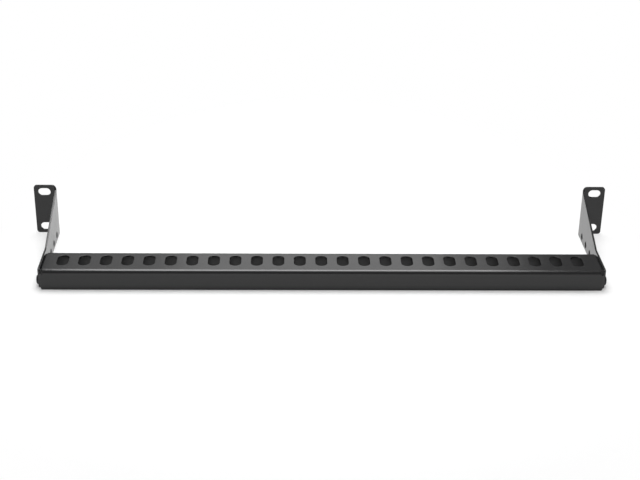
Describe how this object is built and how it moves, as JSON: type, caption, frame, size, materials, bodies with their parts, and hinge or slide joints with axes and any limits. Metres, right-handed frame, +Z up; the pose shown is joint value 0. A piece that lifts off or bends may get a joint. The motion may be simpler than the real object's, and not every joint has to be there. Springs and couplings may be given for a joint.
{
  "type": "cable lacing bar",
  "caption": "Slotted steel channel held out from a rack's rails by folded ear brackets with tapered arms, for tying cables along its row of slots.",
  "frame": {"origin": "middle of the rack bolt pattern, on the back faces of the ears", "axes": "+X along the bar, to the right seen from the front; +Y into the rack; +Z up"},
  "size_m": [0.4826, 0.1049, 0.0436],
  "materials": {
    "powder_coated_steel": "satin black powder coat on mild steel sheet",
    "black_zinc_steel": "black zinc plating on steel fasteners"
  },
  "bodies": {
    "root": {"left_bracket": "powder_coated_steel", "right_bracket": "powder_coated_steel", "lacing_bar": "powder_coated_steel", "left_front_screw": "black_zinc_steel", "left_front_nut": "black_zinc_steel", "left_rear_screw": "black_zinc_steel", "left_rear_nut": "black_zinc_steel", "right_front_screw": "black_zinc_steel", "right_front_nut": "black_zinc_steel", "right_rear_screw": "black_zinc_steel", "right_rear_nut": "black_zinc_steel"}
  },
  "joints": []
}
